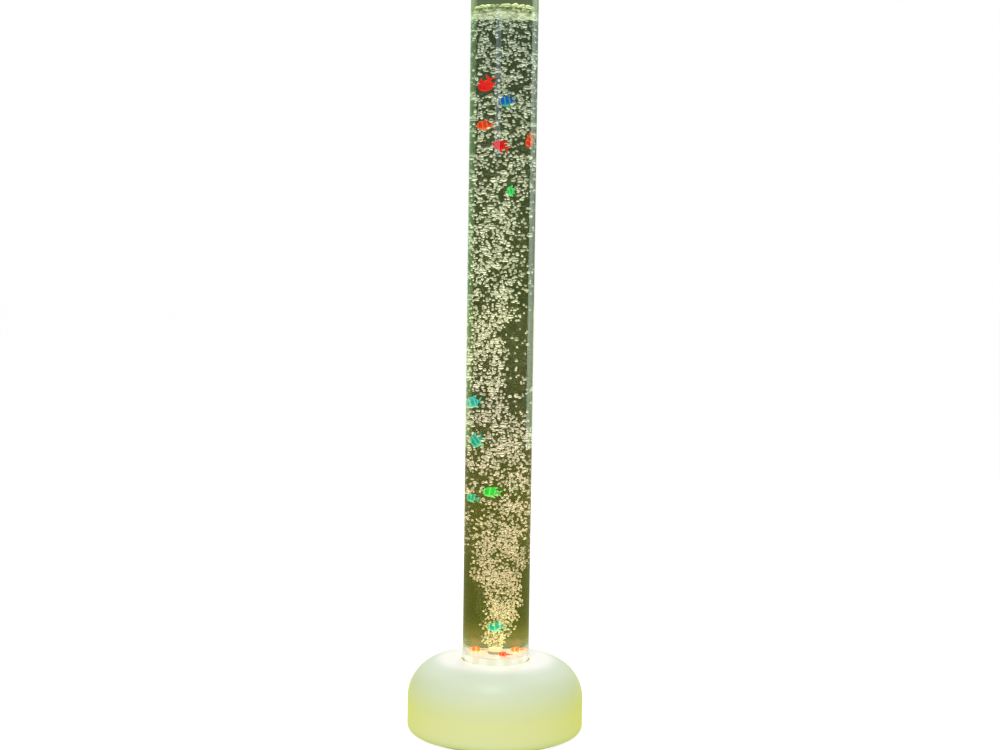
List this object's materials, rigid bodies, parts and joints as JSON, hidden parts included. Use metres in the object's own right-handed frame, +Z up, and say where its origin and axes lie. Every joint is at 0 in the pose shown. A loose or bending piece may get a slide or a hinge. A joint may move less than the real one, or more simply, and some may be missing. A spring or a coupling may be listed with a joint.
{
  "type": "bubble tube floor lamp",
  "caption": "Tall clear tube of water on a round translucent base that lights it from below and pumps air bubbles up past small plastic fish; buttons at the back, vented lid on top.",
  "frame": {"origin": "on the floor under the tube's axis, at the lowest point of the rubber feet", "axes": "+Z up along the tube's axis; front is -Y; the power inlet and the buttons are at the back, +Y; +X is to the right seen from the front"},
  "size_m": [0.265, 0.265, 1.2],
  "materials": {
    "milky_shell": "satin",
    "plate_grey": "matte",
    "foot_rubber": "matte",
    "screw_steel": "satin",
    "socket_white": "satin",
    "seal_rubber": "matte",
    "clear_acrylic": "gloss",
    "floor_acrylic": "gloss",
    "lid_white": "satin",
    "nozzle_plastic": "satin",
    "stone_grey": "matte",
    "silicone_hose": "satin",
    "valve_plastic": "satin",
    "valve_disc": "matte",
    "board_white": "satin",
    "diode_clear": "gloss",
    "pump_plastic": "satin",
    "filter_felt": "matte",
    "arm_steel": "satin",
    "iron": "matte",
    "bobbin_nylon": "satin",
    "copper_wire": "gloss",
    "board_green": "satin",
    "part_black": "satin",
    "button_white": "satin",
    "cable_sheath": "satin",
    "fish_red": "gloss",
    "fish_blue": "gloss",
    "fish_orange": "gloss",
    "fish_green": "gloss",
    "fish_teal": "gloss"
  },
  "bodies": {
    "base": {"dome_shell": "milky_shell", "base_plate": "plate_grey", "rubber_feet": "foot_rubber", "bottom_screws": "screw_steel", "tube_socket": "socket_white", "neck_ring": "seal_rubber", "tube": "clear_acrylic", "tube_floor": "floor_acrylic", "air_nozzle": "nozzle_plastic", "nozzle_seal": "foot_rubber", "nozzle_washer": "screw_steel", "nozzle_nut": "screw_steel", "air_stone": "stone_grey", "upper_hose": "silicone_hose", "lower_hose": "silicone_hose", "check_valve_top": "valve_plastic", "check_valve_bottom": "valve_plastic", "light_board": "board_white", "light_diodes": "diode_clear", "board_screws": "screw_steel", "pump_case": "pump_plastic", "pump_cover": "pump_plastic", "cover_screws": "screw_steel", "pump_mounts": "foot_rubber", "intake_filter": "filter_felt", "valve_block": "valve_plastic", "valve_flaps": "foot_rubber", "bellows": "foot_rubber", "arm_pin": "screw_steel", "iron_core": "iron", "bobbin": "bobbin_nylon", "winding": "copper_wire", "control_board": "board_green", "board_parts": "part_black", "push_switches": "part_black", "control_screws": "screw_steel", "rear_panel": "socket_white", "power_inlet": "part_black", "inlet_nut": "screw_steel", "base_cables": "cable_sheath"},
    "swing_arm": {"swing_arm": "arm_steel", "arm_magnet": "screw_steel"},
    "valve_disc": {"check_valve_disc": "valve_disc"},
    "power_button": {"power_button": "button_white"},
    "mode_button": {"mode_button": "button_white"},
    "lid": {"lid": "lid_white"},
    "fish_01": {"fish_01": "fish_red"},
    "fish_02": {"fish_02": "fish_blue"},
    "fish_03": {"fish_03": "fish_orange"},
    "fish_04": {"fish_04": "fish_red"},
    "fish_05": {"fish_05": "fish_orange"},
    "fish_06": {"fish_06": "fish_green"},
    "fish_07": {"fish_07": "fish_teal"},
    "fish_08": {"fish_08": "fish_teal"},
    "fish_09": {"fish_09": "fish_green"},
    "fish_10": {"fish_10": "fish_teal"},
    "fish_11": {"fish_11": "fish_teal"},
    "fish_12": {"fish_12": "fish_orange"},
    "fish_13": {"fish_13": "fish_orange"},
    "fish_14": {"fish_14": "fish_orange"}
  },
  "joints": [
    {"name": "lid_lift", "type": "slide", "parent": "base", "child": "lid", "axis": [0, 0, 1], "range_m": [0, 0.04]},
    {"name": "power_press", "type": "slide", "parent": "base", "child": "power_button", "axis": [0, -1, 0], "range_m": [0, 0.001], "stiffness_N_per_m": 300, "springref_m": -0.001},
    {"name": "mode_press", "type": "slide", "parent": "base", "child": "mode_button", "axis": [0, -1, 0], "range_m": [0, 0.001], "stiffness_N_per_m": 300, "springref_m": -0.001},
    {"name": "arm_swing", "type": "hinge", "parent": "base", "child": "swing_arm", "pos_m": [0.03, 0, 0.04], "axis": [0, 1, 0], "range_deg": [-2, 2], "stiffness_Nm_per_rad": 0.5, "deforming": ["bellows"]},
    {"name": "disc_lift", "type": "slide", "parent": "base", "child": "valve_disc", "axis": [0, 0, 1], "range_m": [0, 0.001]},
    {"name": "fish_01_rise", "type": "slide", "parent": "base", "child": "fish_01", "axis": [0, 0, 1], "range_m": [-0.225, 0.077]},
    {"name": "fish_02_rise", "type": "slide", "parent": "base", "child": "fish_02", "axis": [0, 0, 1], "range_m": [-0.403, 0.113]},
    {"name": "fish_03_rise", "type": "slide", "parent": "base", "child": "fish_03", "axis": [0, 0, 1], "range_m": [-0.781, 0.148]},
    {"name": "fish_04_rise", "type": "slide", "parent": "base", "child": "fish_04", "axis": [0, 0, 1], "range_m": [-0.744, 0.18]},
    {"name": "fish_05_rise", "type": "slide", "parent": "base", "child": "fish_05", "axis": [0, 0, 1], "range_m": [-0.374, 0.16]},
    {"name": "fish_06_rise", "type": "slide", "parent": "base", "child": "fish_06", "axis": [0, 0, 1], "range_m": [-0.338, 0.243]},
    {"name": "fish_07_rise", "type": "slide", "parent": "base", "child": "fish_07", "axis": [0, 0, 1], "range_m": [-0.369, 0.225]},
    {"name": "fish_08_rise", "type": "slide", "parent": "base", "child": "fish_08", "axis": [0, 0, 1], "range_m": [-0.314, 0.606]},
    {"name": "fish_09_rise", "type": "slide", "parent": "base", "child": "fish_09", "axis": [0, 0, 1], "range_m": [-0.112, 0.694]},
    {"name": "fish_10_rise", "type": "slide", "parent": "base", "child": "fish_10", "axis": [0, 0, 1], "range_m": [-0.226, 0.704]},
    {"name": "fish_11_rise", "type": "slide", "parent": "base", "child": "fish_11", "axis": [0, 0, 1], "range_m": [-0.021, 0.896]},
    {"name": "fish_12_rise", "type": "slide", "parent": "base", "child": "fish_12", "axis": [0, 0, 1], "range_m": [0, 0.338]},
    {"name": "fish_13_rise", "type": "slide", "parent": "base", "child": "fish_13", "axis": [0, 0, 1], "range_m": [0, 0.112]},
    {"name": "fish_14_rise", "type": "slide", "parent": "base", "child": "fish_14", "axis": [0, 0, 1], "range_m": [0, 0.374]}
  ]
}
